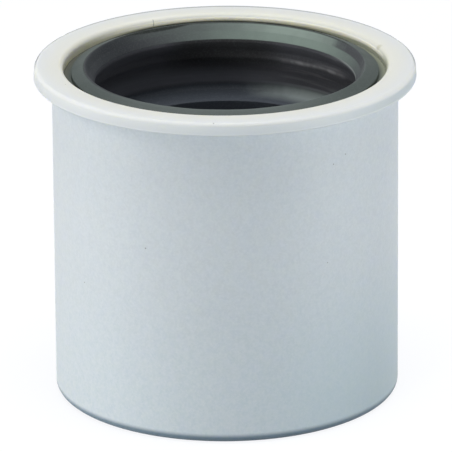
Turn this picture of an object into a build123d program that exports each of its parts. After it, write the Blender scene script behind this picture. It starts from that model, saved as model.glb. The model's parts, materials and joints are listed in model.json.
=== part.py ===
from build123d import *
import os

# A push-in pipe adapter: a flanged plastic sleeve with a rubber lip seal in its mouth.
# Millimetres. The axis is Z, and the sleeve stands on its spigot at Z = 0.

# Sleeve
spigot_diameter = 50.0  # goes into the socket of a 50 mm waste pipe
sleeve_wall = 1.65
overall_height = 49.2
flange_reach = 2.65  # how far the flange stands out from the spigot
flange_thickness = 1.95
flange_draft = 0.15  # the flange's edge leans in by this much towards its top
spigot_rounding = 1.2  # lead-in at the lower outer edge
mouth_rounding = 0.75  # inner edge of the mouth
flange_top_rounding = 0.6
flange_lower_chamfer = 0.25
ledge_reach = 4.0  # inner ledge that carries the seal
ledge_thickness = 2.0
rounding_share = 0.75  # an edge break takes at most this much of the wall it is on

# Seal, from its outer wall inwards
seat_clearance = 0.05  # radial, between the seal and the socket
groove_width = 1.15  # open ring between the seal's head and the socket
seal_wall = 3.1
throat_reach = 0.6
lip_reach = 0.75
rib_reach = 0.15
shelf_reach = 3.65

# Seal, from the flange's top down
crest_depth = 0.3  # the crest stays this far below the flange's top
head_drop = 0.8  # outer bevel, from the crest to the groove
groove_drop = 0.6  # wall of the head inside the groove
throat_drop = 1.15  # steep face inside the crest
lip_drop = 1.05  # flatter face down to the lip's edge
lip_land = 0.5  # short cylinder that grips the pipe
lip_back_drop = 1.6  # back of the lip, out to the seal's wall
rib_gap = 0.6  # wall between the lip's back and the rib
rib_drop = 0.55  # upper face of a low ring on the wall
rib_back_drop = 0.45
seal_bore_length = 4.35  # wall between the rib and the shelf
shelf_rise = 0.75  # the shelf climbs from its hole to the wall
shelf_thickness = 2.0
crest_chamfer = 0.2
head_chamfer = 0.2
shelf_root_chamfer = 0.8

# Radii and heights of the seal's stack
spigot_radius = spigot_diameter / 2
socket_radius = spigot_radius - sleeve_wall
seal_radius = socket_radius - seat_clearance
head_radius = socket_radius - groove_width
seal_bore_radius = seal_radius - seal_wall
throat_radius = seal_bore_radius - throat_reach
lip_radius = throat_radius - lip_reach
rib_radius = seal_bore_radius - rib_reach
shelf_hole_radius = seal_bore_radius - shelf_reach
crest_height = overall_height - crest_depth
head_edge_height = crest_height - head_drop
shoulder_height = head_edge_height - groove_drop
throat_height = crest_height - throat_drop
lip_height = throat_height - lip_drop
lip_back_height = lip_height - lip_land
lip_root_height = lip_back_height - lip_back_drop
rib_top_height = lip_root_height - rib_gap
rib_edge_height = rib_top_height - rib_drop
rib_root_height = rib_edge_height - rib_back_drop
shelf_root_height = rib_root_height - seal_bore_length
shelf_height = shelf_root_height - shelf_rise
seat_height = shelf_height - shelf_thickness

# Radii and heights of the sleeve round it
flange_radius = spigot_radius + flange_reach
flange_top_radius = flange_radius - flange_draft
ledge_radius = socket_radius - ledge_reach
flange_underside = overall_height - flange_thickness
ledge_underside = seat_height - ledge_thickness


def corner(section, radius, height):
    """The corner of a half section nearest to a radius and a height."""
    return section.vertices().sort_by_distance((radius, height))[0]


def within(edge_break, wall):
    """The size of a rounding or chamfer, limited by the wall that it is on."""
    return min(edge_break, rounding_share * wall)


flange_top_break = within(flange_top_rounding, flange_thickness)
flange_lower_break = within(flange_lower_chamfer, flange_thickness - flange_top_break)

# Sleeve: one moulding, turned from its half section
with BuildPart() as adapter_sleeve:
    with BuildSketch(Plane.XZ) as sleeve_section:
        with BuildLine():
            Polyline(
                (socket_radius, 0),
                (spigot_radius, 0),
                (spigot_radius, flange_underside),
                (flange_radius, flange_underside),
                (flange_top_radius, overall_height),
                (socket_radius, overall_height),
                (socket_radius, seat_height),
                (ledge_radius, seat_height),
                (ledge_radius, ledge_underside),
                (socket_radius, ledge_underside),
                close=True,
            )
        make_face()
        fillet(corner(sleeve_section, spigot_radius, 0), within(spigot_rounding, sleeve_wall))
        fillet(corner(sleeve_section, flange_top_radius, overall_height), flange_top_break)
        fillet(corner(sleeve_section, socket_radius, overall_height), mouth_rounding)
        chamfer(corner(sleeve_section, flange_radius, flange_underside), flange_lower_break)
    revolve(axis=Axis.Z)
adapter_sleeve.part.label = "adapter_sleeve"

# Seal: a moulded ring that sits on the sleeve's ledge, just below the rim of the mouth
with BuildPart() as lip_seal:
    with BuildSketch(Plane.XZ) as seal_section:
        with BuildLine():
            Polyline(
                (shelf_hole_radius, seat_height),
                (seal_radius, seat_height),
                (seal_radius, shoulder_height),
                (head_radius, shoulder_height),
                (head_radius, head_edge_height),
                (seal_bore_radius, crest_height),
                (throat_radius, throat_height),
                (lip_radius, lip_height),
                (lip_radius, lip_back_height),
                (seal_bore_radius, lip_root_height),
                (seal_bore_radius, rib_top_height),
                (rib_radius, rib_edge_height),
                (seal_bore_radius, rib_root_height),
                (seal_bore_radius, shelf_root_height),
                (shelf_hole_radius, shelf_height),
                close=True,
            )
        make_face()
        chamfer(corner(seal_section, head_radius, head_edge_height), head_chamfer)
        chamfer(corner(seal_section, seal_bore_radius, crest_height), crest_chamfer)
        chamfer(corner(seal_section, seal_bore_radius, shelf_root_height), shelf_root_chamfer)
    revolve(axis=Axis.Z)
lip_seal.part.label = "lip_seal"

os.makedirs("parts", exist_ok=True)
export_step(adapter_sleeve.part, "parts/adapter_sleeve.step")
export_step(lip_seal.part, "parts/lip_seal.step")
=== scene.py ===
import json
import math

import bmesh
import bpy
from mathutils import Matrix, Vector, noise


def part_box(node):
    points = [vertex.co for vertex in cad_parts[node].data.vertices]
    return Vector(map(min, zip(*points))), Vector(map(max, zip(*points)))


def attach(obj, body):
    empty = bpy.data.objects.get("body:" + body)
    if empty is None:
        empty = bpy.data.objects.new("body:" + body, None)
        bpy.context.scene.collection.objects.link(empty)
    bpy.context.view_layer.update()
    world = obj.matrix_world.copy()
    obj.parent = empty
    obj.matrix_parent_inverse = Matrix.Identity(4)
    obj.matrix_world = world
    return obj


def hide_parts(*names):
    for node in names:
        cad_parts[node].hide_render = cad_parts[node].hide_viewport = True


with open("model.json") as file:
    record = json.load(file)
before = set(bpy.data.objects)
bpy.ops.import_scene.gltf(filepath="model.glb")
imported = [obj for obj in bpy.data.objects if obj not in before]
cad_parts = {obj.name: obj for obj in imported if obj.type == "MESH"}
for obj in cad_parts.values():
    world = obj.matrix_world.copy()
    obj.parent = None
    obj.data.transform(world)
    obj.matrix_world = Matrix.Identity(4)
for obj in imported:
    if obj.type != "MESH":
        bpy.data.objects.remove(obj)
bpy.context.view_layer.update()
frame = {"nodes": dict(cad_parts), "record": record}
mm = 0.001
weldDistance = 0.001 * mm
sharpAngle = 40  # degrees: flatter edges are shaded smooth
spotCore = 0.3  # share of a round mark that has its full strength
bumpStrength = 0.4
bumpDistance = 0.03 * mm
print("frame loaded:", sorted(frame["nodes"]))


# a number that varies over a surface: sums on it add Math nodes
class Signal:
    def __init__(self, finish, socket):
        self.finish = finish
        self.socket = socket

    def maths(self, operation, first, second):
        return self.finish.node("ShaderNodeMath", {"operation": operation}, {0: first, 1: second})

    def __add__(self, other):
        return self.maths("ADD", self, other)

    def __radd__(self, other):
        return self.maths("ADD", other, self)

    def __sub__(self, other):
        return self.maths("SUBTRACT", self, other)

    def __rsub__(self, other):
        return self.maths("SUBTRACT", other, self)

    def __mul__(self, other):
        return self.maths("MULTIPLY", self, other)

    def __rmul__(self, other):
        return self.maths("MULTIPLY", other, self)

    def __truediv__(self, other):
        return self.maths("DIVIDE", self, other)

    def __rtruediv__(self, other):
        return self.maths("DIVIDE", other, self)

    def __pow__(self, other):
        return self.maths("POWER", self, other)

    def __rpow__(self, other):
        return self.maths("POWER", other, self)

    def __abs__(self):
        return self.maths("ABSOLUTE", self, 0.0)

    def atLeast(self, low):
        return self.maths("MAXIMUM", self, low)


# a node tree that starts empty and is filled through one method
class Finish:
    def __init__(self, tree):
        self.tree = tree
        self.tree.nodes.clear()

    def node(self, kind, settings=None, inputs=None, out=0):
        made = self.tree.nodes.new(kind)
        for key, value in (settings or {}).items():
            setattr(made, key, value)
        for key, value in (inputs or {}).items():
            if isinstance(value, Signal):
                self.tree.links.new(value.socket, made.inputs[key])
            else:
                made.inputs[key].default_value = value
        return Signal(self, made.outputs[out])

    # object coordinates in millimetres, and what they give round the axis
    def readPlace(self):
        coords = self.node("ShaderNodeTexCoord", out="Object")
        self.place = self.node("ShaderNodeVectorMath", {"operation": "SCALE"}, {0: coords, "Scale": 1 / mm})
        self.x = self.node("ShaderNodeSeparateXYZ", None, {0: self.place}, out="X")
        self.y = self.node("ShaderNodeSeparateXYZ", None, {0: self.place}, out="Y")
        self.z = self.node("ShaderNodeSeparateXYZ", None, {0: self.place}, out="Z")
        self.radius = (self.x * self.x + self.y * self.y) ** 0.5
        self.near = self.facing(0.0)
        self.right = self.facing(90.0)

    # how far a point is turned to one side of the axis: 1 on that side, -1 on the other
    def facing(self, angle):
        side = onRing(1.0, angle, 0)
        return (self.x * side.x + self.y * side.y) / self.radius

    def fade(self, value, start, full, strength=1.0):
        return self.node("ShaderNodeMapRange", {"interpolation_type": "SMOOTHSTEP"},
                         {"Value": value, "From Min": start, "From Max": full, "To Max": strength})

    def tint(self, mask, below, above):
        return self.node("ShaderNodeMix", {"data_type": "RGBA"}, {0: mask, 6: below, 7: above}, out=2)

    # a tone laid over another where a value goes from start to full, inside a mask
    def layer(self, shown, tone, value, start, full, strength=1.0, within=1.0):
        return self.tint(self.fade(value, start, full, strength) * within, shown, tone)

    def speckle(self, vector, scale, detail, roughness):
        return self.node("ShaderNodeTexNoise", None,
                         {"Vector": vector, "Scale": scale, "Detail": detail, "Roughness": roughness})

    # a small round mark
    def spot(self, centre, size):
        away = self.node("ShaderNodeVectorMath", {"operation": "DISTANCE"},
                         {0: self.place, 1: centre}, out="Value")
        return self.fade(away, size, size * spotCore)

    def bump(self, height):
        return self.node("ShaderNodeBump", None,
                         {"Strength": bumpStrength, "Distance": bumpDistance, "Height": height})

    # 1 for rays that should find a white room
    def whiteRays(self):
        seen = self.node("ShaderNodeLightPath", out="Is Camera Ray")
        mirrored = self.node("ShaderNodeLightPath", out="Is Glossy Ray")
        through = self.node("ShaderNodeLightPath", out="Is Transmission Ray")
        return seen + mirrored + through

    def output(self, surface, kind="ShaderNodeOutputMaterial"):
        end = self.tree.nodes.new(kind)
        self.tree.links.new(surface.socket, end.inputs["Surface"])


def newMaterial(name):
    material = bpy.data.materials.new(name)
    material.use_nodes = True
    return material, Finish(material.node_tree)


def colour(red, green, blue):
    return (red, green, blue, 1.0)


# a point round the axis: 0 degrees is nearest to the camera, 90 is on its right
def onRing(radius, angle, height):
    turn = math.radians(angle)
    return Vector((radius * math.sin(turn), -radius * math.cos(turn), height))


# a closed half section: radius, height and the size of the rounding at each corner
def halfSection(bm, corners, segments):
    points = [bm.verts.new((radius, 0, height)) for radius, height, rounding in corners]
    for start, end in zip(points, points[1:] + points[:1]):
        bm.edges.new((start, end))
    for point, (radius, height, rounding) in zip(points, corners):
        if rounding:
            bmesh.ops.bevel(bm, geom=[point], offset=rounding, offset_type="OFFSET", affect="VERTICES",
                            segments=segments, profile=0.5, material=-1)


# fine moulded rings: more points along the lines of a section, each shifted a little
def ringed(bm, spacing, depth, stretch, widest, lowest):
    for edge in bm.edges[:]:
        cuts = int(edge.calc_length() / spacing)
        if cuts and all(point.co.x < widest and point.co.z > lowest for point in edge.verts):
            bmesh.ops.subdivide_edges(bm, edges=[edge], cuts=cuts)
    for point in bm.verts:
        point.co.x += depth * noise.noise(point.co / (stretch * spacing))


def turned(bm, steps):
    bmesh.ops.spin(bm, geom=bm.verts[:] + bm.edges[:], cent=(0, 0, 0), axis=(0, 0, 1),
                   angle=2 * math.pi, steps=steps, use_merge=True, use_duplicate=False)
    bmesh.ops.remove_doubles(bm, verts=bm.verts[:], dist=weldDistance)
    bmesh.ops.recalc_face_normals(bm, faces=bm.faces[:])


def finished(bm, name, material):
    for face in bm.faces:
        face.smooth = True
    mesh = bpy.data.meshes.new(name)
    bm.to_mesh(mesh)
    bm.free()
    mesh.set_sharp_from_angle(angle=math.radians(sharpAngle))
    mesh.materials.append(material)
    piece = bpy.data.objects.new(name, mesh)
    bpy.context.scene.collection.objects.link(piece)
    return piece


mounts = {mount["name"]: mount for mount in frame["record"]["mounts"]}
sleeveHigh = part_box("adapter_sleeve")[1]
sealLow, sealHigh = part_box("lip_seal")
spigotRadius = mounts["spigot"]["dims"]["r_mm"] * mm
lipRadius = mounts["pipe_socket"]["dims"]["r_mm"] * mm
flangeUnderside = mounts["flange_underside"]["pos_m"][2]
seatHeight = sealLow.z


# sleeve: straight spigot, thin flange, socket for the seal and the ledge under it
sleeve = {
    "wall": 1.65 * mm,
    "ledgeReach": 4.0 * mm,
    "ledgeThickness": 2.0 * mm,
    "spigotRounding": 1.2 * mm,
    "flangeDraft": 0.15 * mm,
    "flangeTopRounding": 0.6 * mm,
    "flangeLowerRounding": 0.25 * mm,
    "flangeRoot": 0.3 * mm,
    "mouthRounding": 0.75 * mm,
    "innerRounding": 0.4 * mm,
    "steps": 288,
    "segments": 8,
    "noises": {  # scale, detail and roughness
        "cloudy": (0.12, 3.0, 0.5),
        "mottle": (0.45, 3.0, 0.6),
        "pebble": (1.1, 2.0, 0.5),
        "grain": (2.6, 3.0, 0.6),
        "fine": (7.0, 2.0, 0.5),
    },
    "bands": {  # where a tone starts, where it is full and, if less than 1, its strength
        "mottle": (0.35, 0.65, 0.35),
        "pebble": (0.3, 0.7, 0.5),
        "grain": (0.35, 0.75, 0.6),
        "lowerBodyShade": (30.0, 0.0, 0.5),
        "lowerRightShade": (28.0, 0.0, 0.6),
        "rightHalf": (0.0, 0.8),
        "footShade": (1.6, 0.75),
        "flangeTop": (1.1, 1.65),
        "flangeCreamLight": (2.4, -0.8),
        "sideReach": (2.2, 2.45),
        "sideDepth": (0.3, 0.7),
        "sideMiddleLit": (-0.6, 0.0),
        "sideRightShade": (0.25, 1.1),
        "lowerEdgeHighlight": (0.45, 0.15, 0.8),
        "lowerEdgeReach": (2.0, 2.4),
        "upperEdgeShade": (1.8, 2.2, 0.7),
        "upperEdgeDepth": (0.7, 0.4),
        "backShadeLine": (1.2, 0.3),
        "backHalf": (0.1, -0.1),
        "mouthReach": (-0.8, -1.3),
        "mouthDepth": (9.2, 5.2),
        "leftHand": (0.0, -0.6),
        "rightHand": (0.3, 0.9),
        "rim": (0.62, 0.35, 0.8),
        "glow": (0.42, 0.7),
        "nearSide": (-0.4, 0.0),
        "nearRightShade": (0.06, 0.5),
        "oliveShade": (1.08, 1.42),
        "oliveLitLeft": (-0.5, -0.9),
        "farSide": (-0.5, -0.7),
        "gapShadow": (1.08, 1.38),
        "tickWidth": (0.999988, 0.999998),  # cosines of a fraction of a degree
        "tickTop": (0.1, 0.3),
        "tickEnd": (1.5, 0.9),
    },
    "tones": {
        "body": colour(0.575, 0.64, 0.675),
        "bodyPale": colour(0.60, 0.66, 0.695),
        "mottle": colour(0.61, 0.645, 0.67),
        "pebble": colour(0.645, 0.705, 0.74),
        "grain": colour(0.68, 0.73, 0.76),
        "lowerBodyShade": colour(0.53, 0.645, 0.69),
        "lowerRightShade": colour(0.49, 0.615, 0.665),
        # painted shade at the bottom rounding
        "footShade": colour(0.17, 0.24, 0.295),
        "flangeCool": colour(0.605, 0.632, 0.645),
        "flangeCreamLight": colour(0.63, 0.642, 0.603),
        "sideLeft": colour(0.62, 0.655, 0.67),
        "sideMiddleLit": colour(0.635, 0.68, 0.70),
        "sideRightShade": colour(0.49, 0.545, 0.57),
        "lowerEdgeHighlight": colour(0.74, 0.79, 0.80),
        "upperEdgeShade": colour(0.55, 0.57, 0.57),
        "backShadeLine": colour(0.12, 0.14, 0.15),
        "rim": colour(0.56, 0.57, 0.52),
        "rimLeft": colour(0.67, 0.67, 0.61),
        "glow": colour(0.90, 0.89, 0.79),
        "glowAside": colour(0.97, 0.96, 0.85),
        "nearRightShade": colour(0.36, 0.38, 0.29),
        # painted shade with olive bounce light on the mouth's wall
        "oliveShade": colour(0.50, 0.51, 0.38),
        "oliveLitLeft": colour(0.88, 0.88, 0.71),
        "oliveShadeRight": colour(0.40, 0.43, 0.34),
        "gapShadow": colour(0.03, 0.034, 0.028),
        "stain": colour(0.30, 0.29, 0.17),
        "speck": colour(0.16, 0.17, 0.16),
    },
    "backLineReach": 2.4,
    "backLineThin": 0.2,  # width of the painted shade line at the back, at the sides, and what it gains at the far side
    "backLineGain": 0.8,
    "oliveWave": 0.2,
    "gapSlope": 1.4,  # the painted shadow in the gap starts lower towards the sides
    "gapTurn": 0.94,
    "bodySpecks": [  # angle, height and size
        (-27.3, 28.8, 0.16),
        (42.9, 41.4, 0.14),
        (37.7, 40.4, 0.14),
        (35.2, 25.8, 0.12),
        (-54.6, 20.9, 0.14),
    ],
    "rimSpecks": [(27.2, -3.5, 0.08, 0.16), (24.7, -67.3, 0, 0.12)],  # radius, angle, depth and size
    "rimStain": (23.6, 108.5, 0.3, 0.8),
    "rimTick": 206.6,  # a hairline across the mouth's inner edge
    "speckStrength": 0.7,
    "stainStrength": 0.4,
    "tickStrength": 0.5,
    "roughness": 0.5,
    "roughnessWave": 0.12,
    "fineBump": 0.5,
}
socketRadius = spigotRadius - sleeve["wall"]


# the body has a fine grain, and painted shade makes it cooler and darker low down and on the right
def bodyTone(finish, noises):
    band, tone = sleeve["bands"], sleeve["tones"]
    shown = finish.tint(noises["cloudy"], tone["body"], tone["bodyPale"])
    shown = finish.layer(shown, tone["mottle"], noises["mottle"], *band["mottle"])
    # painted shade: cooler and darker towards the bottom
    shown = finish.layer(shown, tone["lowerBodyShade"], finish.z, *band["lowerBodyShade"])
    shown = finish.layer(shown, tone["pebble"], noises["pebble"], *band["pebble"])
    shown = finish.layer(shown, tone["grain"], noises["grain"], *band["grain"])
    # painted shade: darker still low down on the right
    rightHalf = finish.fade(finish.right, *band["rightHalf"])
    return finish.layer(shown, tone["lowerRightShade"], finish.z, *band["lowerRightShade"], within=rightHalf)


# the flange is cool at its edge and cream towards the mouth from painted warm light, with painted light and
# shade on its side and edges, and a grey painted shade line at the back
def flangeTone(finish, shown, reach, rise, depth):
    band, tone = sleeve["bands"], sleeve["tones"]
    # painted light: the top turns cream towards the mouth
    topTone = finish.tint(finish.fade(reach, *band["flangeCreamLight"]), tone["flangeCool"], tone["flangeCreamLight"])
    shown = finish.layer(shown, topTone, rise, *band["flangeTop"])
    # painted light on the front of the flange's side, painted shade on its right
    sideTone = finish.layer(tone["sideLeft"], tone["sideMiddleLit"], finish.right, *band["sideMiddleLit"])
    sideTone = finish.layer(sideTone, tone["sideRightShade"], finish.right, *band["sideRightShade"])
    sideDepth = finish.fade(depth, *band["sideDepth"])
    shown = finish.layer(shown, sideTone, reach, *band["sideReach"], within=sideDepth)
    # painted highlight: a light line along the flange's lower edge
    lowerReach = finish.fade(reach, *band["lowerEdgeReach"])
    shown = finish.layer(shown, tone["lowerEdgeHighlight"], rise, *band["lowerEdgeHighlight"], within=lowerReach)
    # painted shade dulls the highlight on the flange's top rounding
    upperDepth = finish.fade(depth, *band["upperEdgeDepth"])
    shown = finish.layer(shown, tone["upperEdgeShade"], reach, *band["upperEdgeShade"], within=upperDepth)
    # painted shade: a dark line along the flange's back edge, wider at the far side
    width = sleeve["backLineThin"] - sleeve["backLineGain"] * finish.near
    across = (sleeve["backLineReach"] - reach) / width
    backHalf = finish.fade(finish.near, *band["backHalf"])
    return finish.layer(shown, tone["backShadeLine"], across, *band["backShadeLine"], within=backHalf * upperDepth)


# the mouth's inner edge carries painted shade and painted light as if light came through it, the wall below
# it is painted olive shade, and a painted shadow darkens the gap at the far side
def mouthTone(finish, shown, reach, depth, cloudy):
    band, tone = sleeve["bands"], sleeve["tones"]
    inside = finish.fade(reach, *band["mouthReach"]) * finish.fade(depth, *band["mouthDepth"])
    leftHand = finish.fade(finish.right, *band["leftHand"])
    rightHand = finish.fade(finish.right, *band["rightHand"])
    # painted shade dulls the top of the mouth's rounding, less on the left where painted light lifts it
    rimTone = finish.tint(leftHand, tone["rim"], tone["rimLeft"])
    shown = finish.layer(shown, rimTone, depth, *band["rim"], within=inside)
    # painted light: the rounding glows as if light came through the plastic, brighter at the sides
    glowTone = finish.tint(leftHand + rightHand, tone["glow"], tone["glowAside"])
    shown = finish.layer(shown, glowTone, depth, *band["glow"], within=inside)
    # painted shade on the mouth's rounding at the near right
    nearRightShade = inside * rightHand * finish.fade(finish.near, *band["nearSide"])
    shown = finish.layer(shown, tone["nearRightShade"], depth, *band["nearRightShade"], within=nearRightShade)
    # painted shade with olive bounce light on the wall below the rounding, lighter on the left and darker on
    # the right
    oliveShade = finish.layer(tone["oliveShade"], tone["oliveLitLeft"], finish.right, *band["oliveLitLeft"])
    oliveShade = finish.tint(rightHand, oliveShade, tone["oliveShadeRight"])
    shown = finish.layer(shown, oliveShade, depth + sleeve["oliveWave"] * cloudy, *band["oliveShade"], within=inside)
    # painted shadow: the wall above the seal's crest turns near black at the far side
    gapDepth = depth - sleeve["gapSlope"] * (finish.near + sleeve["gapTurn"])
    farSide = finish.fade(finish.near, *band["farSide"])
    return finish.layer(shown, tone["gapShadow"], gapDepth, *band["gapShadow"], within=inside * farSide)


# a few specks, a stain and a hairline
def markedTone(finish, shown, depth):
    band, tone = sleeve["bands"], sleeve["tones"]
    outer = spigotRadius / mm
    top = sleeveHigh.z / mm
    specks = 0.0
    for angle, height, size in sleeve["bodySpecks"]:
        specks = specks + finish.spot(onRing(outer, angle, height), size)
    for ring, angle, drop, size in sleeve["rimSpecks"]:
        specks = specks + finish.spot(onRing(ring, angle, top - drop), size)
    ring, angle, drop, size = sleeve["rimStain"]
    stain = finish.spot(onRing(ring, angle, top - drop), size)
    shown = finish.tint(stain * sleeve["stainStrength"], shown, tone["stain"])
    tick = finish.fade(finish.facing(sleeve["rimTick"]), *band["tickWidth"])
    tick = tick * finish.fade(depth, *band["tickTop"]) * finish.fade(depth, *band["tickEnd"])
    marks = specks * sleeve["speckStrength"] + tick * sleeve["tickStrength"]
    return finish.tint(marks, shown, tone["speck"])


def sleevePlastic():
    material, finish = newMaterial("sleevePlastic")
    finish.readPlace()
    noises = {name: finish.speckle(finish.place, *setting) for name, setting in sleeve["noises"].items()}
    reach = finish.radius - spigotRadius / mm
    rise = finish.z - flangeUnderside / mm
    depth = sleeveHigh.z / mm - finish.z
    shown = bodyTone(finish, noises)
    shown = flangeTone(finish, shown, reach, rise, depth)
    shown = mouthTone(finish, shown, reach, depth, noises["cloudy"])
    # painted shade: the bottom rounding is darker and blue-grey
    shown = finish.layer(shown, sleeve["tones"]["footShade"], finish.z, *sleeve["bands"]["footShade"])
    finish.output(finish.node("ShaderNodeBsdfPrincipled", None, {
        "Base Color": markedTone(finish, shown, depth),
        "Roughness": sleeve["roughness"] + sleeve["roughnessWave"] * noises["grain"],
        "Normal": finish.bump(noises["grain"] + noises["fine"] * sleeve["fineBump"]),
        "IOR": 1.48,
        "Subsurface Weight": 0.5,
        "Subsurface Radius": (1.0, 0.95, 0.6),
        "Subsurface Scale": 1.2 * mm,
    }))
    return material


def makeSleeve():
    ledgeRadius = socketRadius - sleeve["ledgeReach"]
    ledgeUnderside = seatHeight - sleeve["ledgeThickness"]
    flangeRadius = sleeveHigh.x
    top = sleeveHigh.z
    bm = bmesh.new()
    halfSection(bm, [
        (socketRadius, 0, sleeve["flangeLowerRounding"]),
        (spigotRadius, 0, sleeve["spigotRounding"]),
        (spigotRadius, flangeUnderside, sleeve["flangeRoot"]),
        (flangeRadius, flangeUnderside, sleeve["flangeLowerRounding"]),
        (flangeRadius - sleeve["flangeDraft"], top, sleeve["flangeTopRounding"]),
        (socketRadius, top, sleeve["mouthRounding"]),
        (socketRadius, seatHeight, 0),
        (ledgeRadius, seatHeight, sleeve["flangeLowerRounding"]),
        (ledgeRadius, ledgeUnderside, sleeve["innerRounding"]),
        (socketRadius, ledgeUnderside, sleeve["innerRounding"]),
    ], sleeve["segments"])
    turned(bm, sleeve["steps"])
    piece = finished(bm, "sleeveShell", sleevePlastic())
    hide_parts("adapter_sleeve")
    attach(piece, "root")
    print("sleeve:", len(piece.data.polygons), "faces")


makeSleeve()


# seal: raised crest with a bevel on each side, sharp lip, low ring on the wall and a sloping shelf
seal = {
    "headGroove": 1.15 * mm,
    "wall": 3.1 * mm,
    "throatReach": 0.6 * mm,
    "ribReach": 0.15 * mm,
    "shelfReach": 3.65 * mm,
    "crestDepth": 0.3 * mm,
    "headDrop": 0.8 * mm,
    "grooveDrop": 0.6 * mm,
    "throatDrop": 1.15 * mm,
    "lipDrop": 1.05 * mm,
    "lipLand": 0.5 * mm,
    "lipBackDrop": 1.6 * mm,
    "ribGap": 0.6 * mm,
    "ribDrop": 0.55 * mm,
    "ribBackDrop": 0.45 * mm,
    "shelfThickness": 2.0 * mm,
    "shelfRise": 0.75 * mm,
    "crestRounding": 0.2 * mm,
    "edgeRounding": 0.08 * mm,
    "shelfRoot": 0.8 * mm,
    "ringSpacing": 0.2 * mm,
    "ringDepth": 0.012 * mm,
    "ringStretch": 1.6,
    "ringInset": 0.01 * mm,  # the rings stay inside the head and above the seat by this much
    "ringLift": 0.5 * mm,
    "wobble": 0.03 * mm,
    "wobbleLength": 2.5 * mm,
    "steps": 288,
    "segments": 4,
    "noises": {  # scale, detail and roughness
        "patches": (0.35, 3.0, 0.6),
        "pores": (4.0, 2.0, 0.5),
        "breaks": (0.5, 2.0, 0.5),
    },
    "ringNoises": {
        "rings": (1.0, 4.0, 0.6),
        "highlightStreaks": (0.55, 3.0, 0.55),
    },
    "ringRound": 0.12,  # how fast the ring noises change round the axis, and across the section
    "ringAcross": 2.4,
    # sides where painted light and shade are centred
    "sides": {"sheen": 150.0, "ribHighlight": 138.0, "shelf": 128.0, "sheenCut": 107.0, "shade": 216.0},
    "waves": {"ribHighlight": 0.05, "shelf": 0.25, "sheenCut": 0.1},  # how much the patches shift a side's edge
    "bands": {  # where a tone starts, where it is full and, if less than 1, its strength
        "lowerWall": (-0.5, -2.5),
        "farWall": (-0.85, -0.98),
        "farWallRise": (-3.0, 0.0),
        "rightWall": (0.2, 0.6, 0.5),
        "breaks": (0.35, 0.65),
        "rib": (0.5, 0.05),
        "highlightStreaks": (0.5, 0.7, 0.4),
        "streakSide": (0.95, 1.02),
        "shelf": (2.1, 1.3),
        "shelfSide": (0.78, 1.15),
        "shelfLit": (-1.6, 0.8),
        "corner": (0.3, 0.05, 0.5),
        "outerNearLit": (0.5, 0.95),
        "grooveLightRight": (-0.5, 0.8),
        "grooveLight": (-0.1, -0.3),
        "grooveLightReach": (-0.2, 0.9),
        "sheenCutSide": (0.985, 1.03),
        "lipFace": (0.1, -0.1),
        "leftSide": (-0.5, -0.85),
        "shadeSide": (0.92, 0.99),
        "crestShadeLine": (-0.14, -0.02),
        "crestLineSide": (0.05, -0.3),
        "crest": (-0.05, 0.1),
        "head": (-0.1, 0.0),
        "lipEdgeHighlight": (0.2, 0.1),
        "lipEdgeReach": (0.3, 0.15),
        "lipEdgeSide": (0.8, 0.97),
        "pores": (0.45, 0.7, 0.08),
    },
    "tones": {
        "upperWall": colour(0.066, 0.068, 0.080),
        "upperRings": colour(0.110, 0.113, 0.130),
        "lowerWall": colour(0.115, 0.120, 0.140),
        "lowerRings": colour(0.175, 0.180, 0.205),
        "shadedBlack": colour(0.022, 0.023, 0.024),
        "shadedBlackRings": colour(0.036, 0.037, 0.040),
        "ribHighlight": colour(0.25, 0.255, 0.265),
        "shelf": colour(0.032, 0.038, 0.048),
        "shelfRings": colour(0.058, 0.068, 0.084),
        "shelfLit": colour(0.260, 0.305, 0.302),
        "corner": colour(0.260, 0.280, 0.300),
        "outerBevel": colour(0.050, 0.063, 0.060),
        "outerRings": colour(0.066, 0.082, 0.078),
        "outerNearLit": colour(0.088, 0.105, 0.102),
        # painted light in the groove, olive, brightest on the right
        "grooveLight": colour(0.085, 0.088, 0.070),
        "grooveLightRight": colour(0.205, 0.220, 0.165),
        "innerBevel": colour(0.034, 0.036, 0.042),
        "innerRings": colour(0.050, 0.053, 0.058),
        "innerLeftShade": colour(0.022, 0.026, 0.030),
        # painted sheen on the throat's and lip's faces
        "throatSheen": colour(0.200, 0.252, 0.225),
        "lipSheen": colour(0.150, 0.195, 0.172),
        "crestShadeLine": colour(0.02, 0.024, 0.022),
        "lipEdgeHighlight": colour(0.20, 0.22, 0.22),
        "pores": colour(0.20, 0.22, 0.22),
    },
    "streakLeast": 0.4,  # what the breaks leave of the painted highlight along the rib
    "cornerRise": 2.0,
    "cloudLeast": 0.75,
    "cloudWave": 0.5,
    "sheenCutStrength": 0.9,
    "sheenWide": 0.38,  # the share of the throat's painted sheen that goes far round
    "throatFocus": 10.0,
    "lipFocus": 3.2,
    "leftShade": 0.8,
    "crestShift": 0.26,  # the painted shade of the inner faces reaches this far over the crest on the left
    "crestLineGain": 0.2,
    "crestLineTilt": 0.35,
    "lipEdgeDrop": 0.1,
    "roughness": 0.52,
    "roughnessWave": 0.2,
    "poreBump": 0.4,
}


# rings are fine across the section and long round the axis
def rubberNoises(finish):
    across = finish.z * seal["ringAcross"] + finish.radius * seal["ringAcross"]
    lengthwise = finish.node("ShaderNodeCombineXYZ", None, {
        0: finish.x * seal["ringRound"],
        1: finish.y * seal["ringRound"],
        2: across,
    })
    noises = {name: finish.speckle(finish.place, *setting) for name, setting in seal["noises"].items()}
    for name, setting in seal["ringNoises"].items():
        noises[name] = finish.speckle(lengthwise, *setting)
    return noises


# how far a point is turned to a named side, with an uneven edge
def unevenSide(finish, noises, name):
    return finish.facing(seal["sides"][name]) + seal["waves"][name] * noises["patches"]


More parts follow.
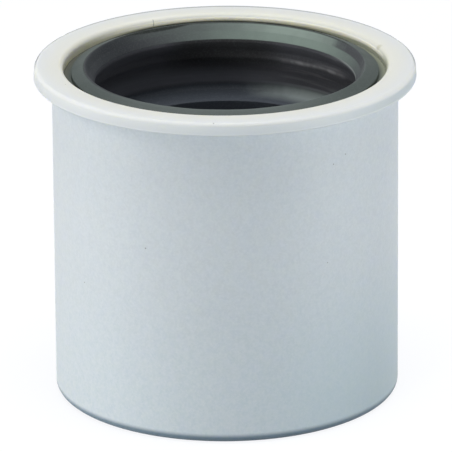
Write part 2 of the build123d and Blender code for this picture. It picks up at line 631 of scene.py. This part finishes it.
# wall: black, with painted shade that makes it darkest at the far side, and a few grey streaks on the right
# that are painted highlights along the rib
def wallTone(finish, noises, overRib):
    band, tone = seal["bands"], seal["tones"]
    rings = noises["rings"]
    shown = finish.tint(rings, tone["upperWall"], tone["upperRings"])
    lower = finish.tint(rings, tone["lowerWall"], tone["lowerRings"])
    shown = finish.layer(shown, lower, overRib, *band["lowerWall"])
    # painted shade: black at the far side above the rib, and darker on the right
    shadedBlack = finish.tint(rings, tone["shadedBlack"], tone["shadedBlackRings"])
    farRise = finish.fade(overRib, *band["farWallRise"])
    shown = finish.layer(shown, shadedBlack, finish.near, *band["farWall"], within=farRise)
    shown = finish.layer(shown, shadedBlack, finish.right, *band["rightWall"])
    # painted highlight: broken grey streaks along the rib on the right
    least = seal["streakLeast"]
    broken = least + (1.0 - least) * finish.fade(noises["breaks"], *band["breaks"])
    faint = finish.fade(noises["highlightStreaks"], *band["highlightStreaks"])
    highlightStreaks = finish.fade(abs(overRib), *band["rib"]) * broken + faint
    side = unevenSide(finish, noises, "ribHighlight")
    return finish.layer(shown, tone["ribHighlight"], side, *band["streakSide"], within=highlightStreaks)


# shelf: dark, with a pale patch of painted light on the right and a light line in its corner that is a
# painted highlight
def shelfTone(finish, noises, shown, overShelf, pastLip):
    band, tone = seal["bands"], seal["tones"]
    # painted light: a pale patch on the shelf's right
    litSide = finish.fade(unevenSide(finish, noises, "shelf"), *band["shelfSide"])
    shelf = finish.tint(noises["rings"], tone["shelf"], tone["shelfRings"])
    shelf = finish.layer(shelf, tone["shelfLit"], pastLip, *band["shelfLit"], within=litSide)
    shown = finish.layer(shown, shelf, overShelf, *band["shelf"])
    # painted highlight: a light line in the shelf's corner on the right
    corner = abs(overShelf - seal["cornerRise"])
    return finish.layer(shown, tone["corner"], corner, *band["corner"], within=litSide)


# outer bevel: dull, lighter in front from painted light, with painted olive light in the groove round the
# head
def outerBevelTone(finish, noises, overHead, pastHead):
    band, tone = seal["bands"], seal["tones"]
    shown = finish.tint(noises["rings"], tone["outerBevel"], tone["outerRings"])
    # painted light: the outer bevel is lighter in front
    shown = finish.layer(shown, tone["outerNearLit"], finish.near, *band["outerNearLit"])
    # painted light: olive light in the groove round the head, brightest on the right
    grooveLight = finish.layer(tone["grooveLight"], tone["grooveLightRight"], finish.right, *band["grooveLightRight"])
    groove = finish.fade(pastHead, *band["grooveLightReach"])
    return finish.layer(shown, grooveLight, overHead, *band["grooveLight"], within=groove)


# inner bevels: a pale painted sheen at the far right, cut away on the throat's face where the painted
# reflection ends
def innerBevelTone(finish, noises, overThroat):
    band, tone = seal["bands"], seal["tones"]
    plain = finish.tint(noises["rings"], tone["innerBevel"], tone["innerRings"])
    turn = finish.facing(seal["sides"]["sheen"]).atLeast(0.0)
    cloud = seal["cloudLeast"] + seal["cloudWave"] * noises["patches"]
    # painted sheen: a pale reflection at the far right, cut away on part of the throat's face
    sheenCut = finish.fade(unevenSide(finish, noises, "sheenCut"), *band["sheenCutSide"])
    wide = seal["sheenWide"]
    throatSheen = wide * turn + (1.0 - wide) * turn ** seal["throatFocus"]
    throatSheen = cloud * (1.0 - seal["sheenCutStrength"] * sheenCut) * throatSheen
    throatFace = finish.tint(throatSheen, plain, tone["throatSheen"])
    lipFace = finish.tint(cloud * turn ** seal["lipFocus"], plain, tone["lipSheen"])
    return finish.layer(throatFace, lipFace, overThroat, *band["lipFace"])


# head: both bevels, with painted shade on the left inner faces and a dark line of painted shade inside the
# crest from the left to the far right
def headTone(finish, inner, outer, overCrest):
    band, tone = seal["bands"], seal["tones"]
    leftSide = finish.fade(finish.right, *band["leftSide"])
    # painted shade: the inner faces are darker on the left
    inner = finish.tint(leftSide * seal["leftShade"], inner, tone["innerLeftShade"])
    overCrest = overCrest - seal["crestShift"] * leftSide
    shade = finish.fade(finish.facing(seal["sides"]["shade"]), *band["shadeSide"])
    lineSide = finish.fade(finish.near + seal["crestLineTilt"] * finish.right, *band["crestLineSide"])
    lineReach = overCrest + seal["crestLineGain"] * shade
    # painted shade: a dark line inside the crest from the left to the far right
    inner = finish.layer(inner, tone["crestShadeLine"], lineReach, *band["crestShadeLine"], within=lineSide)
    return finish.layer(inner, outer, overCrest, *band["crest"])


def sealRubber(levels, radii):
    material, finish = newMaterial("sealRubber")
    finish.readPlace()
    noises = rubberNoises(finish)
    band, tone = seal["bands"], seal["tones"]
    pastLip = finish.radius - radii["lip"]
    overLip = finish.z - levels["lip"]
    shown = wallTone(finish, noises, finish.z - levels["rib"])
    shown = shelfTone(finish, noises, shown, finish.z - levels["shelf"], pastLip)
    outer = outerBevelTone(finish, noises, finish.z - levels["head"], finish.radius - radii["head"])
    inner = innerBevelTone(finish, noises, finish.z - levels["throat"])
    head = headTone(finish, inner, outer, finish.radius - radii["crest"])
    shown = finish.layer(shown, head, overLip, *band["head"])
    # painted highlight: a light line along the lip's edge on the right
    edge = finish.fade(pastLip, *band["lipEdgeReach"]) * finish.fade(finish.right, *band["lipEdgeSide"])
    fromEdge = abs(overLip + seal["lipEdgeDrop"])
    shown = finish.layer(shown, tone["lipEdgeHighlight"], fromEdge, *band["lipEdgeHighlight"], within=edge)
    shown = finish.layer(shown, tone["pores"], noises["pores"], *band["pores"])
    finish.output(finish.node("ShaderNodeBsdfPrincipled", None, {
        "Base Color": shown,
        "Roughness": seal["roughness"] + seal["roughnessWave"] * noises["patches"],
        "Normal": finish.bump(noises["rings"] + noises["pores"] * seal["poreBump"]),
        "IOR": 1.5,
        "Specular IOR Level": 0.15,
    }))
    return material


def makeSeal():
    sealRadius = sealHigh.x
    headRadius = socketRadius - seal["headGroove"]
    boreRadius = sealRadius - seal["wall"]
    throatRadius = boreRadius - seal["throatReach"]
    ribRadius = boreRadius - seal["ribReach"]
    holeRadius = boreRadius - seal["shelfReach"]
    crest = sleeveHigh.z - seal["crestDepth"]
    headEdge = crest - seal["headDrop"]
    shoulder = headEdge - seal["grooveDrop"]
    throat = crest - seal["throatDrop"]
    lip = throat - seal["lipDrop"]
    lipBack = lip - seal["lipLand"]
    lipRoot = lipBack - seal["lipBackDrop"]
    ribTop = lipRoot - seal["ribGap"]
    ribEdge = ribTop - seal["ribDrop"]
    ribRoot = ribEdge - seal["ribBackDrop"]
    shelf = seatHeight + seal["shelfThickness"]
    bm = bmesh.new()
    halfSection(bm, [
        (holeRadius, seatHeight, 0),
        (sealRadius, seatHeight, 0),
        (sealRadius, shoulder, 0),
        (headRadius, shoulder, 0),
        (headRadius, headEdge, seal["edgeRounding"]),
        (boreRadius, crest, seal["crestRounding"]),
        (throatRadius, throat, seal["edgeRounding"]),
        (lipRadius, lip, seal["edgeRounding"]),
        (lipRadius, lipBack, seal["edgeRounding"]),
        (boreRadius, lipRoot, 0),
        (boreRadius, ribTop, 0),
        (ribRadius, ribEdge, seal["edgeRounding"]),
        (boreRadius, ribRoot, 0),
        (boreRadius, shelf + seal["shelfRise"], seal["shelfRoot"]),
        (holeRadius, shelf, seal["edgeRounding"]),
    ], seal["segments"])
    ringed(bm, seal["ringSpacing"], seal["ringDepth"], seal["ringStretch"],
           headRadius - seal["ringInset"], seatHeight + seal["ringLift"])
    turned(bm, seal["steps"])
    # the moulded edges of the head are slightly uneven
    for point in bm.verts:
        if point.co.z > lipRoot:
            point.co.z += seal["wobble"] * noise.noise(point.co / seal["wobbleLength"])
    levels = {"head": headEdge, "throat": throat, "lip": lip, "rib": ribEdge, "shelf": shelf}
    radii = {"head": headRadius, "crest": boreRadius, "lip": lipRadius}
    rubber = sealRubber({name: height / mm for name, height in levels.items()},
                        {name: radius / mm for name, radius in radii.items()})
    piece = finished(bm, "lipSeal", rubber)
    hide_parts("lip_seal")
    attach(piece, "root")
    print("seal:", len(piece.data.polygons), "faces")


makeSeal()


# floor: white to the camera, with a faint shadow, and a plain grey to the light that it sends back
floor = {
    "width": 6.0,
    "bounce": colour(0.10, 0.12, 0.14),
    "shade": colour(0.12, 0.12, 0.12),
    "glow": colour(0.97, 0.98, 1.0),
    "glowStrength": 0.9,
}


def makeFloor():
    material, finish = newMaterial("paleFloor")
    bounce = finish.node("ShaderNodeBsdfDiffuse", None, {"Color": floor["bounce"]})
    shade = finish.node("ShaderNodeBsdfDiffuse", None, {"Color": floor["shade"]})
    glow = finish.node("ShaderNodeEmission", None,
                       {"Color": floor["glow"], "Strength": floor["glowStrength"]})
    bright = finish.node("ShaderNodeAddShader", None, {0: shade, 1: glow})
    finish.output(finish.node("ShaderNodeMixShader", None, {0: finish.whiteRays(), 1: bounce, 2: bright}))
    bm = bmesh.new()
    bmesh.ops.create_grid(bm, x_segments=1, y_segments=1, size=floor["width"] / 2)
    ground = finished(bm, "paleFloor", material)
    print("floor laid")


makeFloor()


# lights: low panels round the body, a small key at the front left and a large soft light overhead
white = (1.0, 1.0, 1.0)
warm = (1.0, 0.96, 0.93)
lights = {
    "key": {"turn": -30, "lift": 8, "away": 1.5, "size": (0.4, 0.15), "power": 11.2, "tone": white},
    "left": {"turn": -90, "lift": 0, "away": 1.5, "size": (0.6, 0.04), "power": 6.2, "tone": warm},
    "leftHigh": {"turn": -80, "lift": 35, "away": 1.5, "size": (0.6, 0.6), "power": 5.8, "tone": warm},
    "frontRight": {"turn": 60, "lift": 11, "away": 0.13, "size": (0.03, 0.03), "power": 0.052, "tone": white},
    "right": {"turn": 90, "lift": 11, "away": 0.13, "size": (0.03, 0.03), "power": 0.023, "tone": white},
    "back": {"turn": 180, "lift": 0, "away": 1.5, "size": (0.6, 0.04), "power": 2.5, "tone": white},
    "top": {"turn": 0, "lift": 88, "away": 1.5, "size": (0.9, 0.9), "power": 19.3, "tone": white},
}


def makeLights():
    aim = Vector((0, 0, sleeveHigh.z / 2))
    for name, setting in lights.items():
        lamp = bpy.data.lights.new(name, "AREA")
        lamp.shape = "RECTANGLE"
        lamp.size, lamp.size_y = setting["size"]
        lamp.energy = setting["power"]
        lamp.color = setting["tone"]
        holder = bpy.data.objects.new(name, lamp)
        lift = math.radians(setting["lift"])
        way = onRing(math.cos(lift), setting["turn"], math.sin(lift))
        holder.location = aim + way * setting["away"]
        holder.rotation_euler = way.to_track_quat("Z", "Y").to_euler()
        holder.visible_camera = False
        bpy.context.scene.collection.objects.link(holder)
    print("lights set:", ", ".join(lights))


makeLights()


# room: dim to the light that it sends in, white to the camera and in reflections
room = {
    "tone": colour(*white),
    "strength": 0.12,
    "backdropStrength": 1.0,
}


def makeRoom():
    world = bpy.data.worlds.new("softRoom")
    world.use_nodes = True
    sky = Finish(world.node_tree)
    dim = sky.node("ShaderNodeBackground", None, {"Color": room["tone"], "Strength": room["strength"]})
    backdrop = sky.node("ShaderNodeBackground", None,
                        {"Color": floor["glow"], "Strength": room["backdropStrength"]})
    surface = sky.node("ShaderNodeMixShader", None, {0: sky.whiteRays(), 1: dim, 2: backdrop})
    sky.output(surface, "ShaderNodeOutputWorld")
    bpy.context.scene.world = world
    print("room set")


makeRoom()


# camera: a long lens from the front, looking down on the mouth
camera = {
    "place": (-0.01 * mm, -900.45 * mm, 344.03 * mm),
    "lookDown": 19.555,
    "roll": -0.40,
    "lens": 523.35,
    "sensor": 36.0,
    "nearest": 0.01,
    "farthest": 100.0,
}


def makeCamera():
    view = bpy.data.cameras.new("camera")
    view.sensor_width = camera["sensor"]
    view.lens = camera["lens"]
    view.clip_start = camera["nearest"]
    view.clip_end = camera["farthest"]
    holder = bpy.data.objects.new("camera", view)
    bpy.context.scene.collection.objects.link(holder)
    pitch = Matrix.Rotation(math.radians(90 - camera["lookDown"]), 4, "X")
    roll = Matrix.Rotation(math.radians(camera["roll"]), 4, "Z")
    holder.matrix_world = Matrix.Translation(camera["place"]) @ pitch @ roll
    bpy.context.scene.camera = holder
    bpy.context.scene.view_settings.view_transform = "Standard"
    print("camera placed")


makeCamera()
